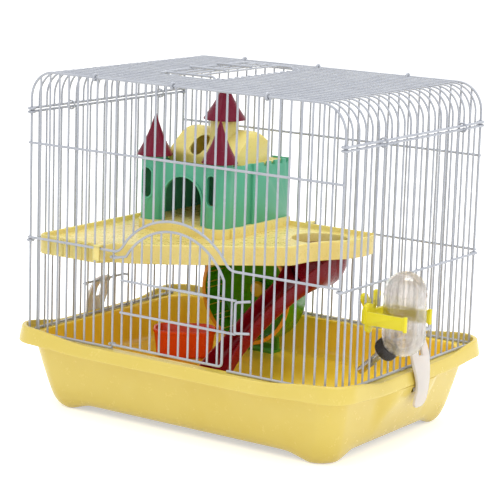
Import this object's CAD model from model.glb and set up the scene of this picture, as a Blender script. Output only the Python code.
"""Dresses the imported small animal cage: wires, tray, castle platform, slide, wheel and bottle.

All shapes are written in millimetres in the cage's own frame, whose X is measured from the
middle between the corner wires. The one function place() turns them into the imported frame.
"""

import logging
import math
from dataclasses import dataclass, field
from enum import Enum
from typing import Callable, Iterable, Sequence

import bmesh
import bpy
from mathutils import Matrix, Vector


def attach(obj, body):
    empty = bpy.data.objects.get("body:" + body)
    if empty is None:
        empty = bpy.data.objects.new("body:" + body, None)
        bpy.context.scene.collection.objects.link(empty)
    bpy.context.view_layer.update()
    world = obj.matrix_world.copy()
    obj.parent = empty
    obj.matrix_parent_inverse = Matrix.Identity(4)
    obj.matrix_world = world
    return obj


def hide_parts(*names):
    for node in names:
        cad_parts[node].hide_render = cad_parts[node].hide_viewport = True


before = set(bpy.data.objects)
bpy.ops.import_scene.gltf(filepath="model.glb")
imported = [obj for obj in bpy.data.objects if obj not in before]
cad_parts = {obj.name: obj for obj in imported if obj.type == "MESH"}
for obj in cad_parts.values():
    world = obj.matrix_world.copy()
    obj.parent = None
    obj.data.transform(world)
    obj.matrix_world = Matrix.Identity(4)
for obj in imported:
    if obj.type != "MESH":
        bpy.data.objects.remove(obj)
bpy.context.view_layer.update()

log = logging.getLogger("cage")

Point = tuple[float, float, float]
Flat = tuple[float, float]
Row = Sequence[bmesh.types.BMVert]

MM = 0.001

# Main sizes of the cage in millimetres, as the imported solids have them
HALF_W, HALF_D = 160.0, 111.0
TRAY_H = 69.0
TOP_Z = 299.5
MID_Z = 153.5
UPPER_Z = 237.0
SIDE_TOP_Z = 263.5
SIDE_MID_Z = 150.6
END_ROD_Z = 266.6
SHOULDER = 24.0
FLOOR_Z = 32.0
TOWERS_X, TOWER_Y = (-118.0, -46.0), 12.0

# Radii of the uprights, the rods, the outline wires, the hooks and the beads of weld
WIRE, ROD, FRAME, FINE, WELD = 0.9, 1.1, 1.1, 0.8, 1.12
# How far a wire's end passes the wire that it is welded to
END = 0.9
# From a wire's middle to the middle of the rod that is welded on it
ROD_OFF = 1.7
# Room between pieces that turn, slide or clip round each other
PLAY = 0.3

FRONT_GAPS, SIDE_GAPS = 31, 22
FRONT_PITCH = 2 * HALF_W / FRONT_GAPS
SIDE_PITCH = 2 * HALF_D / SIDE_GAPS

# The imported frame's X is measured from the middle of the whole object, bottle included
SHIFT = -14.05


def place(p: Sequence[float]) -> Vector:
    """Turns a point of the cage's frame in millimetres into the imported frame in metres."""
    return Vector(((p[0] + SHIFT) * MM, p[1] * MM, p[2] * MM))


def ease(t: float) -> float:
    """Rises smoothly from 0 to 1 as t does."""
    c = max(0.0, min(1.0, t))
    return c * c * (3 - 2 * c)


def bezier(a: Sequence[float], b: Sequence[float], c: Sequence[float], d: Sequence[float],
           t: float) -> tuple[float, ...]:
    """Gives a point on the curve from a to d that b and c pull."""
    s = 1 - t
    return tuple(w * s ** 3 + x * 3 * t * s * s + y * 3 * t * t * s + z * t ** 3
                 for w, x, y, z in zip(a, b, c, d))


def linear(colour: str) -> tuple[float, float, float, float]:
    """Turns an sRGB hex colour into linear RGBA."""
    out = []
    for i in (1, 3, 5):
        v = int(colour[i:i + 2], 16) / 255
        out.append(v / 12.92 if v <= 0.04045 else ((v + 0.055) / 1.055) ** 2.4)
    return (*out, 1.0)


# ---------------------------------------------------------------- node building


def add_node(tree: bpy.types.NodeTree, kind: str, values: dict | None = None,
             **settings: object) -> bpy.types.Node:
    """Adds a node with its settings, its input values and its links.

    Args:
        tree: The tree that gets the node.
        kind: Blender's name of the node type.
        values: Input name or number, with a value or the output socket that feeds it.
        settings: Properties of the node itself.

    Returns:
        The new node.
    """
    node = tree.nodes.new(kind)
    for key, value in settings.items():
        setattr(node, key, value)
    for key, value in (values or {}).items():
        socket = node.inputs[key]
        if isinstance(value, bpy.types.NodeSocket):
            tree.links.new(value, socket)
        else:
            socket.default_value = value
    return node


def new_material(name: str) -> tuple[bpy.types.Material, bpy.types.NodeTree]:
    """Gives an empty node material and its tree."""
    material = bpy.data.materials.new(name)
    material.use_nodes = True
    material.node_tree.nodes.clear()
    return material, material.node_tree


def noise(tree: bpy.types.NodeTree, vector: bpy.types.NodeSocket, size_mm: float,
          detail: float = 3.0) -> bpy.types.NodeSocket:
    """Adds a noise whose blobs are about size_mm across and gives its value."""
    node = add_node(tree, "ShaderNodeTexNoise",
                    {"Vector": vector, "Scale": 1000.0 / size_mm, "Detail": detail})
    return node.outputs[0]


def spread(tree: bpy.types.NodeTree, value: bpy.types.NodeSocket, low: float,
           high: float) -> bpy.types.NodeSocket:
    """Maps the middle band of a noise to the range from low to high."""
    node = add_node(tree, "ShaderNodeMapRange",
                    {"Value": value, "From Min": 0.35, "From Max": 0.65,
                     "To Min": low, "To Max": high})
    return node.outputs["Result"]


@dataclass(frozen=True)
class Moulded:
    """Injection-moulded plastic: glossy, with a faint mould grain and slow changes of tone."""

    name: str
    colour: str
    tone: str
    roughness: float = 0.3
    grain_mm: float = 1.4
    grain_depth_mm: float = 0.004
    tone_mm: float = 45.0
    through: float = 0.0
    milky: float = 0.0
    ior: float = 1.49

    def material(self) -> bpy.types.Material:
        """Builds the material."""
        material, tree = new_material(self.name)
        spot = add_node(tree, "ShaderNodeTexCoord").outputs["Object"]
        slow = noise(tree, spot, self.tone_mm)
        # The mould's grain is about 0.2 mm, drawn coarser so that it shows
        grain = noise(tree, spot, self.grain_mm, 4.0)
        scuff = noise(tree, spot, 7.0, 6.0)
        colour = add_node(tree, "ShaderNodeMix",
                          {0: spread(tree, slow, 0.0, 0.7), 6: linear(self.colour),
                           7: linear(self.tone)}, data_type="RGBA").outputs[2]
        rough = add_node(tree, "ShaderNodeMath",
                         {0: spread(tree, scuff, self.roughness - 0.02, self.roughness + 0.03),
                          1: spread(tree, grain, -0.015, 0.015)}, operation="ADD").outputs[0]
        # Slow sink marks of the moulding under the fine grain
        wave = add_node(tree, "ShaderNodeBump",
                        {"Height": slow, "Strength": 0.08, "Distance": 0.00015}).outputs[0]
        bump = add_node(tree, "ShaderNodeBump",
                        {"Height": grain, "Strength": 0.25, "Normal": wave,
                         "Distance": self.grain_depth_mm * MM}).outputs[0]
        shader = add_node(tree, "ShaderNodeBsdfPrincipled",
                          {"Base Color": colour, "Roughness": rough, "Normal": bump,
                           "IOR": self.ior, "Transmission Weight": self.through,
                           "Subsurface Weight": self.milky, "Subsurface Scale": 0.004,
                           "Subsurface Radius": (1.0, 0.8, 0.6)})
        add_node(tree, "ShaderNodeOutputMaterial", {"Surface": shader.outputs[0]})
        return material


@dataclass(frozen=True)
class CoatedWire:
    """Steel wire in a baked white coat: smooth gloss with orange peel and thin spots."""

    name: str
    colour: str
    thin: str
    roughness: float = 0.28

    def material(self) -> bpy.types.Material:
        """Builds the material."""
        material, tree = new_material(self.name)
        spot = add_node(tree, "ShaderNodeTexCoord").outputs["Object"]
        # The real peel is about half a millimetre, drawn coarser so that it shows
        peel = noise(tree, spot, 1.6, 2.0)
        patch = noise(tree, spot, 16.0, 5.0)
        colour = add_node(tree, "ShaderNodeMix",
                          {0: spread(tree, patch, 0.0, 0.8), 6: linear(self.colour),
                           7: linear(self.thin)}, data_type="RGBA").outputs[2]
        bump = add_node(tree, "ShaderNodeBump",
                        {"Height": peel, "Strength": 0.4, "Distance": 0.00005}).outputs[0]
        shader = add_node(tree, "ShaderNodeBsdfPrincipled",
                          {"Base Color": colour, "Normal": bump, "IOR": 1.55,
                           "Roughness": spread(tree, patch, self.roughness - 0.06,
                                               self.roughness + 0.1)})
        add_node(tree, "ShaderNodeOutputMaterial", {"Surface": shader.outputs[0]})
        return material


@dataclass(frozen=True)
class Steel:
    """Drawn and polished steel: a mirror with fine marks and a few dull spots."""

    name: str
    colour: str
    dull: str
    roughness: float = 0.22

    def material(self) -> bpy.types.Material:
        """Builds the material."""
        material, tree = new_material(self.name)
        spot = add_node(tree, "ShaderNodeTexCoord").outputs["Object"]
        marks = noise(tree, spot, 0.8, 3.0)
        patch = noise(tree, spot, 5.0, 5.0)
        colour = add_node(tree, "ShaderNodeMix",
                          {0: spread(tree, patch, 0.0, 1.0), 6: linear(self.colour),
                           7: linear(self.dull)}, data_type="RGBA").outputs[2]
        bump = add_node(tree, "ShaderNodeBump",
                        {"Height": marks, "Strength": 0.3, "Distance": 0.00003}).outputs[0]
        shader = add_node(tree, "ShaderNodeBsdfPrincipled",
                          {"Base Color": colour, "Metallic": 1.0, "Normal": bump,
                           "Roughness": spread(tree, patch, self.roughness - 0.05,
                                               self.roughness + 0.12)})
        add_node(tree, "ShaderNodeOutputMaterial", {"Surface": shader.outputs[0]})
        return material


@dataclass(frozen=True)
class ClearPlastic:
    """Blown clear polystyrene: see-through, very smooth, with faint waves in the wall."""

    name: str
    colour: str
    roughness: float = 0.03

    def material(self) -> bpy.types.Material:
        """Builds the material."""
        material, tree = new_material(self.name)
        spot = add_node(tree, "ShaderNodeTexCoord").outputs["Object"]
        waves = noise(tree, spot, 9.0, 2.0)
        haze = noise(tree, spot, 3.0, 4.0)
        bump = add_node(tree, "ShaderNodeBump",
                        {"Height": waves, "Strength": 0.15, "Distance": 0.0003}).outputs[0]
        shader = add_node(tree, "ShaderNodeBsdfPrincipled",
                          {"Base Color": linear(self.colour), "Normal": bump, "IOR": 1.49,
                           "Transmission Weight": 1.0, "Alpha": 0.55,
                           "Roughness": spread(tree, haze, self.roughness,
                                               self.roughness + 0.04)})
        add_node(tree, "ShaderNodeOutputMaterial", {"Surface": shader.outputs[0]})
        return material


class Finish(Enum):
    """Every finish on the cage, named for what the real one is."""

    # Polypropylene from a polished mould: opaque, a soft waxy gloss; thin walls glow a little
    TRAY = Moulded("moulded_polypropylene_pale_yellow", "#E2CB66", "#DDC458", 0.24)
    TRAY_INSIDE = Moulded("moulded_polypropylene_gold_inside", "#FFDC48", "#F9D03A", 0.2)
    DECK = Moulded("moulded_polypropylene_platform", "#EEDC8C", "#E9D47C", 0.28, milky=0.35)
    # Polystyrene: harder and glossier, with clean highlights; the pale roof lets light in
    CASTLE = Moulded("moulded_polystyrene_teal", "#5AB495", "#50A888", 0.32, ior=1.42)
    CONE = Moulded("moulded_polystyrene_wine_red", "#740B2C", "#660824", 0.24, ior=1.33)
    ROOF = Moulded("moulded_polystyrene_cream_yellow", "#E6D67E", "#E0CE72", 0.3, milky=0.4)
    SLIDE = Moulded("moulded_polystyrene_deep_red", "#7E0515", "#6A0410", 0.28, ior=1.33)
    # Clear polystyrene with a green tint: the wire and floor behind show through faintly
    WHEEL = Moulded("tinted_clear_polystyrene_green", "#46A006", "#3B9204", 0.18,
                    through=0.16, ior=1.4)
    # Opaque polystyrene again, on the wheel's small pieces
    RIM = Moulded("moulded_polystyrene_amber", "#EBA52C", "#E2912A", 0.25)
    RUNG = Moulded("moulded_polystyrene_yellow_rung", "#E2CF4A", "#DCC53E", 0.3)
    HUB = Moulded("moulded_polystyrene_yellow_hub", "#CBAA22", "#C2A01C", 0.3)
    STAND = Moulded("moulded_polystyrene_green_stand", "#4F9C2C", "#458F26", 0.32)
    # Polypropylene and nylon: a satin gloss in strong colours
    DISH = Moulded("moulded_polypropylene_orange_red", "#F54A0C", "#EA4007", 0.24)
    CLAMP = Moulded("moulded_nylon_bright_yellow", "#E8DA1E", "#E0CF18", 0.3, milky=0.15)
    # Phenolic resin: dense, nearly black brown, with a dull shine
    CAP = Moulded("moulded_phenolic_black_brown", "#241C18", "#1A1411", 0.28)
    # Unfilled polypropylene, bent thin: milky, and light passes into it
    LATCH = Moulded("milky_polypropylene", "#F1EAE4", "#E9E0D8", 0.32, through=0.25, milky=0.3)
    # Silicone: matt and soft
    SEAL = Moulded("white_silicone_rubber", "#F0EEE8", "#E4E1DA", 0.55)
    # A baked coat looks grey between its highlights, because each wire is thin and round
    WIRES = CoatedWire("white_baked_coat_on_steel_wire", "#B6BAC2", "#A8ACB6")
    # Bare steel: it mirrors what stands round it, a little dulled by handling
    STEEL = Steel("drawn_stainless_steel", "#C4C1BA", "#A6A199")
    BALL = Steel("polished_steel_ball", "#D4D6D8", "#BFC2C5", 0.12)
    # A blown wall is under a millimetre and a half thick, so what is behind shows through
    CLEAR = ClearPlastic("clear_blown_polystyrene", "#D2CBC4")


_materials: dict[str, bpy.types.Material] = {}


def dress(finish: Finish) -> bpy.types.Material:
    """Gives the material of a finish, built once."""
    if finish.name not in _materials:
        _materials[finish.name] = finish.value.material()
    return _materials[finish.name]


# ---------------------------------------------------------------- mesh building


def angles(start: float, end: float, steps: int) -> list[float]:
    """Even angles in radians between two in degrees, both ends included."""
    return [math.radians(start + (end - start) * i / steps) for i in range(steps + 1)]


def arc(centre: Flat, radius: float, start: float, end: float, steps: int) -> list[Flat]:
    """Points on a flat arc between two angles in degrees, both ends included."""
    return [(centre[0] + radius * math.cos(a), centre[1] + radius * math.sin(a))
            for a in angles(start, end, steps)]


def rounded(path: Sequence[Point], radius: float, steps: int = 5) -> list[Point]:
    """Replaces the inner corners of a path by smooth bends.

    Args:
        path: The corner points.
        radius: How far before and after a corner its bend reaches.
        steps: Points on each bend.

    Returns:
        The points of the bent path.
    """
    pts = [Vector(p) for p in path]
    out = [tuple(pts[0])]
    for a, b, c in zip(pts, pts[1:], pts[2:]):
        u, v = (a - b), (c - b)
        reach_a, reach_c = min(radius, u.length * 0.49), min(radius, v.length * 0.49)
        p, q = b + u.normalized() * reach_a, b + v.normalized() * reach_c
        for i in range(steps + 1):
            t = i / steps
            out.append(tuple(p * (1 - t) ** 2 + b * 2 * t * (1 - t) + q * t * t))
    out.append(tuple(pts[-1]))
    return out


def round_rect(a: float, b: float, r: float, corner: int, along: int) -> list[Flat]:
    """A rounded rectangle of half sizes a and b, with points along its sides too."""
    out: list[Flat] = []
    for q in range(4):
        sx, sy = (1 if q in (0, 3) else -1), (1 if q < 2 else -1)
        nx, ny = (-1 if q in (0, 1) else 1), (-1 if q in (1, 2) else 1)
        out += arc((sx * (a - r), sy * (b - r)), r, 90 * q, 90 * q + 90, corner)
        for j in range(1, along + 1):
            f = 1 - 2 * j / (along + 1)
            out.append((-nx * f * (a - r), sy * b) if q % 2 == 0 else (sx * a, -ny * f * (b - r)))
    return out


def inset(outline: Sequence[Flat], distance: float) -> list[Flat]:
    """Moves each point of a closed outline inwards."""
    out = []
    n = len(outline)
    for i in range(n):
        a, b, c = (Vector(outline[(i + k) % n]) for k in (-1, 0, 1))
        u, v = (b - a).normalized(), (c - b).normalized()
        k = (u + v).normalized()
        out.append(tuple(b + Vector((-k.y, k.x)) * distance / max(0.5, k.dot(u))))
    return out


class Shape:
    """A mesh under construction, in millimetres of the cage's frame."""

    def __init__(self) -> None:
        """Starts empty."""
        self.bm = bmesh.new()

    def loft(self, rings: Sequence[Sequence[Point]], cap_low: bool = True, cap_high: bool = True,
             slots: Callable[[int], int] | None = None) -> "Shape":
        """Joins closed rings of equal point counts into a skin.

        Args:
            rings: The rings in order.
            cap_low: Closes the first ring with a face.
            cap_high: Closes the last ring with a face.
            slots: Gives the material slot of the strip that starts at a ring.

        Returns:
            This shape.
        """
        grid = [[self.bm.verts.new(p) for p in ring] for ring in rings]
        n = len(grid[0])
        for i, (low, high) in enumerate(zip(grid, grid[1:])):
            for j in range(n):
                k = (j + 1) % n
                face = self.bm.faces.new((low[j], low[k], high[k], high[j]))
                face.material_index = slots(i) if slots else 0
        if cap_low:
            self.bm.faces.new(list(reversed(grid[0])))
        if cap_high:
            face = self.bm.faces.new(grid[-1])
            face.material_index = slots(len(grid) - 1) if slots else 0
        return self

    def turn(self, profile: Sequence[Flat], spot: Matrix, sides: int = 64,
             closed: bool = False) -> "Shape":
        """Turns a profile of (radius, height) points about the Z axis of spot.

        Args:
            profile: The points, from low to high on the outside.
            spot: Where the turned shape goes.
            sides: Points round the shape.
            closed: The profile comes back to its start, as in a ring.

        Returns:
            This shape.
        """
        rows = []
        for r, z in profile:
            if r < 1e-6:
                rows.append([self.bm.verts.new(spot @ Vector((0, 0, z)))])
            else:
                rows.append([self.bm.verts.new(spot @ Vector(
                    (r * math.cos(2 * math.pi * i / sides), r * math.sin(2 * math.pi * i / sides),
                     z))) for i in range(sides)])
        pairs = list(zip(rows, rows[1:])) + ([(rows[-1], rows[0])] if closed else [])
        for low, high in pairs:
            for i in range(sides):
                k = (i + 1) % sides
                if len(low) == 1:
                    self.bm.faces.new((low[0], high[k], high[i]))
                elif len(high) == 1:
                    self.bm.faces.new((low[i], low[k], high[0]))
                else:
                    self.bm.faces.new((low[i], low[k], high[k], high[i]))
        return self

    def block(self, low: Point, high: Point, spot: Matrix | None = None) -> "Shape":
        """Adds a plain block, as raw material for a cut or a bevel."""
        where = spot or Matrix.Identity(4)
        size = [h - l for l, h in zip(low, high)]
        middle = [(h + l) / 2 for l, h in zip(low, high)]
        bmesh.ops.create_cube(self.bm, size=1, matrix=where @ Matrix.Translation(middle)
                              @ Matrix.Diagonal((*size, 1)))
        return self

    def prism(self, outline: Sequence[Flat], low: float, high: float,
              spot: Matrix | None = None) -> "Shape":
        """Adds a flat outline given thickness from low to high."""
        where = spot or Matrix.Identity(4)
        rings = [[tuple(where @ Vector((x, y, z))) for x, y in outline] for z in (low, high)]
        return self.loft(rings)

    def piece(self, name: str, *finishes: Finish, outward: bool = True) -> bpy.types.Object:
        """Makes the object and leaves it at the origin with its place in its mesh.

        Args:
            name: The piece's name.
            finishes: The finishes of its material slots.
            outward: Recalculates the normals so that faces point outwards.

        Returns:
            The object.
        """
        if outward:
            bmesh.ops.recalc_face_normals(self.bm, faces=self.bm.faces)
        for vertex in self.bm.verts:
            vertex.co = place(vertex.co)
        mesh = bpy.data.meshes.new(name)
        self.bm.to_mesh(mesh)
        self.bm.free()
        for finish in finishes:
            mesh.materials.append(dress(finish))
        piece = bpy.data.objects.new(name, mesh)
        bpy.context.scene.collection.objects.link(piece)
        return piece


def evaluated(piece: bpy.types.Object) -> bpy.types.Mesh:
    """Gives the piece's mesh with its modifiers carried out, and takes them off."""
    graph = bpy.context.evaluated_depsgraph_get()
    graph.update()
    mesh = bpy.data.meshes.new_from_object(piece.evaluated_get(graph), depsgraph=graph)
    old = piece.data
    piece.modifiers.clear()
    piece.data = mesh
    mesh.name = piece.name
    if old.users == 0 and isinstance(old, bpy.types.Mesh):
        bpy.data.meshes.remove(old)
    return mesh


def smooth(piece: bpy.types.Object, angle: float = 38.0) -> bpy.types.Object:
    """Shades a piece smooth, apart from edges sharper than the angle in degrees."""
    mesh = piece.data
    mesh.polygons.foreach_set("use_smooth", [True] * len(mesh.polygons))
    bm = bmesh.new()
    bm.from_mesh(mesh)
    limit = math.radians(angle)
    for edge in bm.edges:
        edge.smooth = len(edge.link_faces) != 2 or edge.calc_face_angle(0.0) < limit
    bm.to_mesh(mesh)
    bm.free()
    return piece


def subdivide(piece: bpy.types.Object, levels: int) -> bpy.types.Object:
    """Rounds a piece by a subdivision surface."""
    modifier = piece.modifiers.new("round", "SUBSURF")
    modifier.levels = modifier.render_levels = levels
    evaluated(piece)
    return piece


def bevel(piece: bpy.types.Object, width_mm: float, angle: float = 32.0,
          segments: int = 2) -> bpy.types.Object:
    """Rounds the sharp edges of a piece, as a mould's corners are."""
    modifier = piece.modifiers.new("edges", "BEVEL")
    modifier.width = width_mm * MM
    modifier.segments = segments
    modifier.limit_method = "ANGLE"
    modifier.angle_limit = math.radians(angle)
    modifier.use_clamp_overlap = True
    modifier.miter_outer = "MITER_ARC"
    evaluated(piece)
    return piece


class Cut(Enum):
    """How one body works on another."""

    TAKE = "DIFFERENCE"
    JOIN = "UNION"


def carve(piece: bpy.types.Object, tool: bpy.types.Object, way: Cut) -> bpy.types.Object:
    """Cuts a body with another or joins it to it, and removes the other."""
    modifier = piece.modifiers.new("carve", "BOOLEAN")
    modifier.object = tool
    modifier.operation = way.value
    modifier.solver = "EXACT"
    evaluated(piece)
    bpy.data.objects.remove(tool)
    return piece


def join(name: str, parts: Sequence[bpy.types.Object]) -> bpy.types.Object:
    """Puts several objects' meshes into one object, each face with its own finish."""
    bm = bmesh.new()
    slots: list[bpy.types.Material] = []
    for part in parts:
        start = len(bm.faces)
        bm.from_mesh(part.data)
        bm.faces.ensure_lookup_table()
        for material in part.data.materials:
            if material not in slots:
                slots.append(material)
        index = [slots.index(m) for m in part.data.materials]
        for face in bm.faces[start:]:
            face.material_index = index[min(face.material_index, len(index) - 1)]
    mesh = bpy.data.meshes.new(name)
    bm.to_mesh(mesh)
    bm.free()
    for material in slots:
        mesh.materials.append(material)
    piece = bpy.data.objects.new(name, mesh)
    bpy.context.scene.collection.objects.link(piece)
    for part in parts:
        bpy.data.objects.remove(part)
    return piece


def from_solid(node: str, name: str, finish: Finish, edge_mm: float,
               angle: float = 32.0) -> bpy.types.Object:
    """Makes a piece from a copy of a CAD solid, with its moulded edges rounded.

    Args:
        node: The CAD node to copy.
        name: The new piece's name.
        finish: Its finish.
        edge_mm: The radius of its edges.
        angle: Edges sharper than this are rounded.

    Returns:
        The object.
    """
    bm = bmesh.new()
    bm.from_mesh(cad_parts[node].data)
    bmesh.ops.remove_doubles(bm, verts=bm.verts, dist=2e-6)
    bmesh.ops.dissolve_limit(bm, angle_limit=math.radians(0.6), use_dissolve_boundaries=False,
                             verts=bm.verts, edges=bm.edges)
    mesh = bpy.data.meshes.new(name)
    bm.to_mesh(mesh)
    bm.free()
    mesh.materials.clear()
    mesh.materials.append(dress(finish))
    piece = bpy.data.objects.new(name, mesh)
    bpy.context.scene.collection.objects.link(piece)
    mesh.polygons.foreach_set("material_index", [0] * len(mesh.polygons))
    if edge_mm > 0:
        bevel(piece, edge_mm, angle)
    return smooth(piece)


def hand_over(piece: bpy.types.Object, body: str, slot: str, *nodes: str) -> bpy.types.Object:
    """Lets a finished piece ride on its body and stand for its CAD nodes."""
    if nodes:
        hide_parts(*nodes)
    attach(piece, body)
    log.info("%s: %d faces on %s", piece.name, len(piece.data.polygons), body)
    return piece


# ---------------------------------------------------------------- geometry nodes


def open_tree(name: str, inputs: Sequence[tuple[str, str, object]]
              ) -> tuple[bpy.types.NodeTree, bpy.types.Node]:
    """Starts a geometry tree with named inputs.

    Args:
        name: The tree's name.
        inputs: Name, socket type and default of each input after the geometry.

    Returns:
        The tree and its input node.
    """
    tree = bpy.data.node_groups.new(name, "GeometryNodeTree")
    tree.interface.new_socket("Geometry", in_out="INPUT", socket_type="NodeSocketGeometry")
    for label, kind, default in inputs:
        socket = tree.interface.new_socket(label, in_out="INPUT", socket_type=kind)
        if default is not None:
            socket.default_value = default
    tree.interface.new_socket("Geometry", in_out="OUTPUT", socket_type="NodeSocketGeometry")
    return tree, tree.nodes.new("NodeGroupInput")


def close_tree(tree: bpy.types.NodeTree, geometry: bpy.types.NodeSocket,
               finish: bpy.types.NodeSocket) -> bpy.types.NodeTree:
    """Ends a tree in smooth shading, Realize Instances and Set Material."""
    shade = add_node(tree, "GeometryNodeSetShadeSmooth", {"Geometry": geometry})
    real = add_node(tree, "GeometryNodeRealizeInstances", {"Geometry": shade.outputs[0]})
    paint = add_node(tree, "GeometryNodeSetMaterial",
                     {"Geometry": real.outputs[0], "Material": finish})
    out = tree.nodes.new("NodeGroupOutput")
    tree.links.new(paint.outputs[0], out.inputs[0])
    return tree


def wire_tree() -> bpy.types.NodeTree:
    """Round wire of one gauge along every path of the input mesh."""
    tree, given = open_tree("wire_along_paths", [
        ("Radius", "NodeSocketFloat", 0.001), ("Sides", "NodeSocketInt", 12),
        ("Finish", "NodeSocketMaterial", None)])
    line = add_node(tree, "GeometryNodeMeshToCurve", {"Mesh": given.outputs["Geometry"]})
    section = add_node(tree, "GeometryNodeCurvePrimitiveCircle",
                       {"Resolution": given.outputs["Sides"], "Radius": given.outputs["Radius"]})
    skin = add_node(tree, "GeometryNodeCurveToMesh",
                    {"Curve": line.outputs[0], "Profile Curve": section.outputs[0],
                     "Fill Caps": True})
    return close_tree(tree, skin.outputs[0], given.outputs["Finish"])


def weld_tree() -> bpy.types.NodeTree:
    """A small flattened bead of weld on every vertex of the input mesh."""
    tree, given = open_tree("weld_beads", [
        ("Radius", "NodeSocketFloat", 0.001), ("Finish", "NodeSocketMaterial", None)])
    bead = add_node(tree, "GeometryNodeMeshIcoSphere",
                    {"Radius": given.outputs["Radius"], "Subdivisions": 2})
    beads = add_node(tree, "GeometryNodeInstanceOnPoints",
                     {"Points": given.outputs["Geometry"], "Instance": bead.outputs[0]})
    return close_tree(tree, beads.outputs[0], given.outputs["Finish"])


def bar_ring_tree() -> bpy.types.NodeTree:
    """Bars set at equal angles round a circle, each with its own size, standing radially."""
    tree, given = open_tree("bars_round_a_ring", [
        ("Count", "NodeSocketInt", 12), ("Ring Radius", "NodeSocketFloat", 0.01),
        ("Bar Radius", "NodeSocketFloat", 0.001), ("Bar Length", "NodeSocketFloat", 0.01),
        ("Finish", "NodeSocketMaterial", None)])
    ring = add_node(tree, "GeometryNodeCurvePrimitiveCircle",
                    {"Resolution": given.outputs["Count"],
                     "Radius": given.outputs["Ring Radius"]})
    spots = add_node(tree, "GeometryNodeCurveToPoints", {"Curve": ring.outputs[0]},
                     mode="EVALUATED")
    bar = add_node(tree, "GeometryNodeMeshCylinder",
                   {"Vertices": 10, "Side Segments": 1, "Radius": given.outputs["Bar Radius"],
                    "Depth": given.outputs["Bar Length"]})
    bars = add_node(tree, "GeometryNodeInstanceOnPoints",
                    {"Points": spots.outputs[0], "Instance": bar.outputs["Mesh"]})
    return close_tree(tree, bars.outputs[0], given.outputs["Finish"])


def row_tree() -> bpy.types.NodeTree:
    """Copies of the input geometry in a straight row."""
    tree, given = open_tree("row_of_copies", [
        ("Count", "NodeSocketInt", 2), ("Step", "NodeSocketVector", (0.01, 0.0, 0.0)),
        ("Finish", "NodeSocketMaterial", None)])
    line = add_node(tree, "GeometryNodeMeshLine",
                    {"Count": given.outputs["Count"], "Offset": given.outputs["Step"]},
                    mode="OFFSET")
    copies = add_node(tree, "GeometryNodeInstanceOnPoints",
                      {"Points": line.outputs[0], "Instance": given.outputs["Geometry"]})
    return close_tree(tree, copies.outputs[0], given.outputs["Finish"])


_trees: dict[Callable[[], bpy.types.NodeTree], bpy.types.NodeTree] = {}


def grow(name: str, builder: Callable[[], bpy.types.NodeTree], source: bpy.types.Mesh,
         inputs: dict[str, object]) -> bpy.types.Object:
    """Runs a geometry tree on a mesh and keeps the result as a plain mesh.

    Args:
        name: The new object's name.
        builder: The function that builds the tree, run once.
        source: The input mesh.
        inputs: The tree's inputs by name.

    Returns:
        The object with its plain mesh.
    """
    if builder not in _trees:
        _trees[builder] = builder()
    tree = _trees[builder]
    piece = bpy.data.objects.new(name, source)
    modifier = piece.modifiers.new("grow", "NODES")
    modifier.node_group = tree
    for item in tree.interface.items_tree:
        if item.item_type == "SOCKET" and item.in_out == "INPUT" and item.name in inputs:
            modifier[item.identifier] = inputs[item.name]
    bpy.context.scene.collection.objects.link(piece)
    evaluated(piece)
    return piece


def path_mesh(name: str, paths: Iterable[Sequence[Point]]) -> bpy.types.Mesh:
    """A mesh of bare edges along several paths."""
    points: list[Vector] = []
    edges: list[tuple[int, int]] = []
    for path in paths:
        start = len(points)
        points += [place(p) for p in path]
        edges += [(start + i, start + i + 1) for i in range(len(path) - 1)]
    mesh = bpy.data.meshes.new(name)
    mesh.from_pydata(points, edges, [])
    return mesh


@dataclass
class WireWork:
    """Wires of several gauges, with a bead of weld at each crossing, that make one piece."""

    name: str
    thin: list[Sequence[Point]] = field(default_factory=list)
    rods: list[Sequence[Point]] = field(default_factory=list)
    outline: list[Sequence[Point]] = field(default_factory=list)
    fine: list[Sequence[Point]] = field(default_factory=list)
    welds: list[Point] = field(default_factory=list)

    def build(self) -> bpy.types.Object:
        """Makes the wires and welds and joins them."""
        parts = []
        for paths, radius in ((self.thin, WIRE), (self.rods, ROD), (self.outline, FRAME),
                              (self.fine, FINE)):
            if paths:
                parts.append(grow("wires", wire_tree, path_mesh("paths", paths),
                                  {"Radius": radius * MM, "Sides": 12,
                                   "Finish": dress(Finish.WIRES)}))
        if self.welds:
            parts.append(grow("welds", weld_tree, path_mesh("spots", [[w] for w in self.welds]),
                              {"Radius": WELD * MM, "Finish": dress(Finish.WIRES)}))
        return join(self.name, parts)


# ---------------------------------------------------------------- the wire cage


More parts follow.
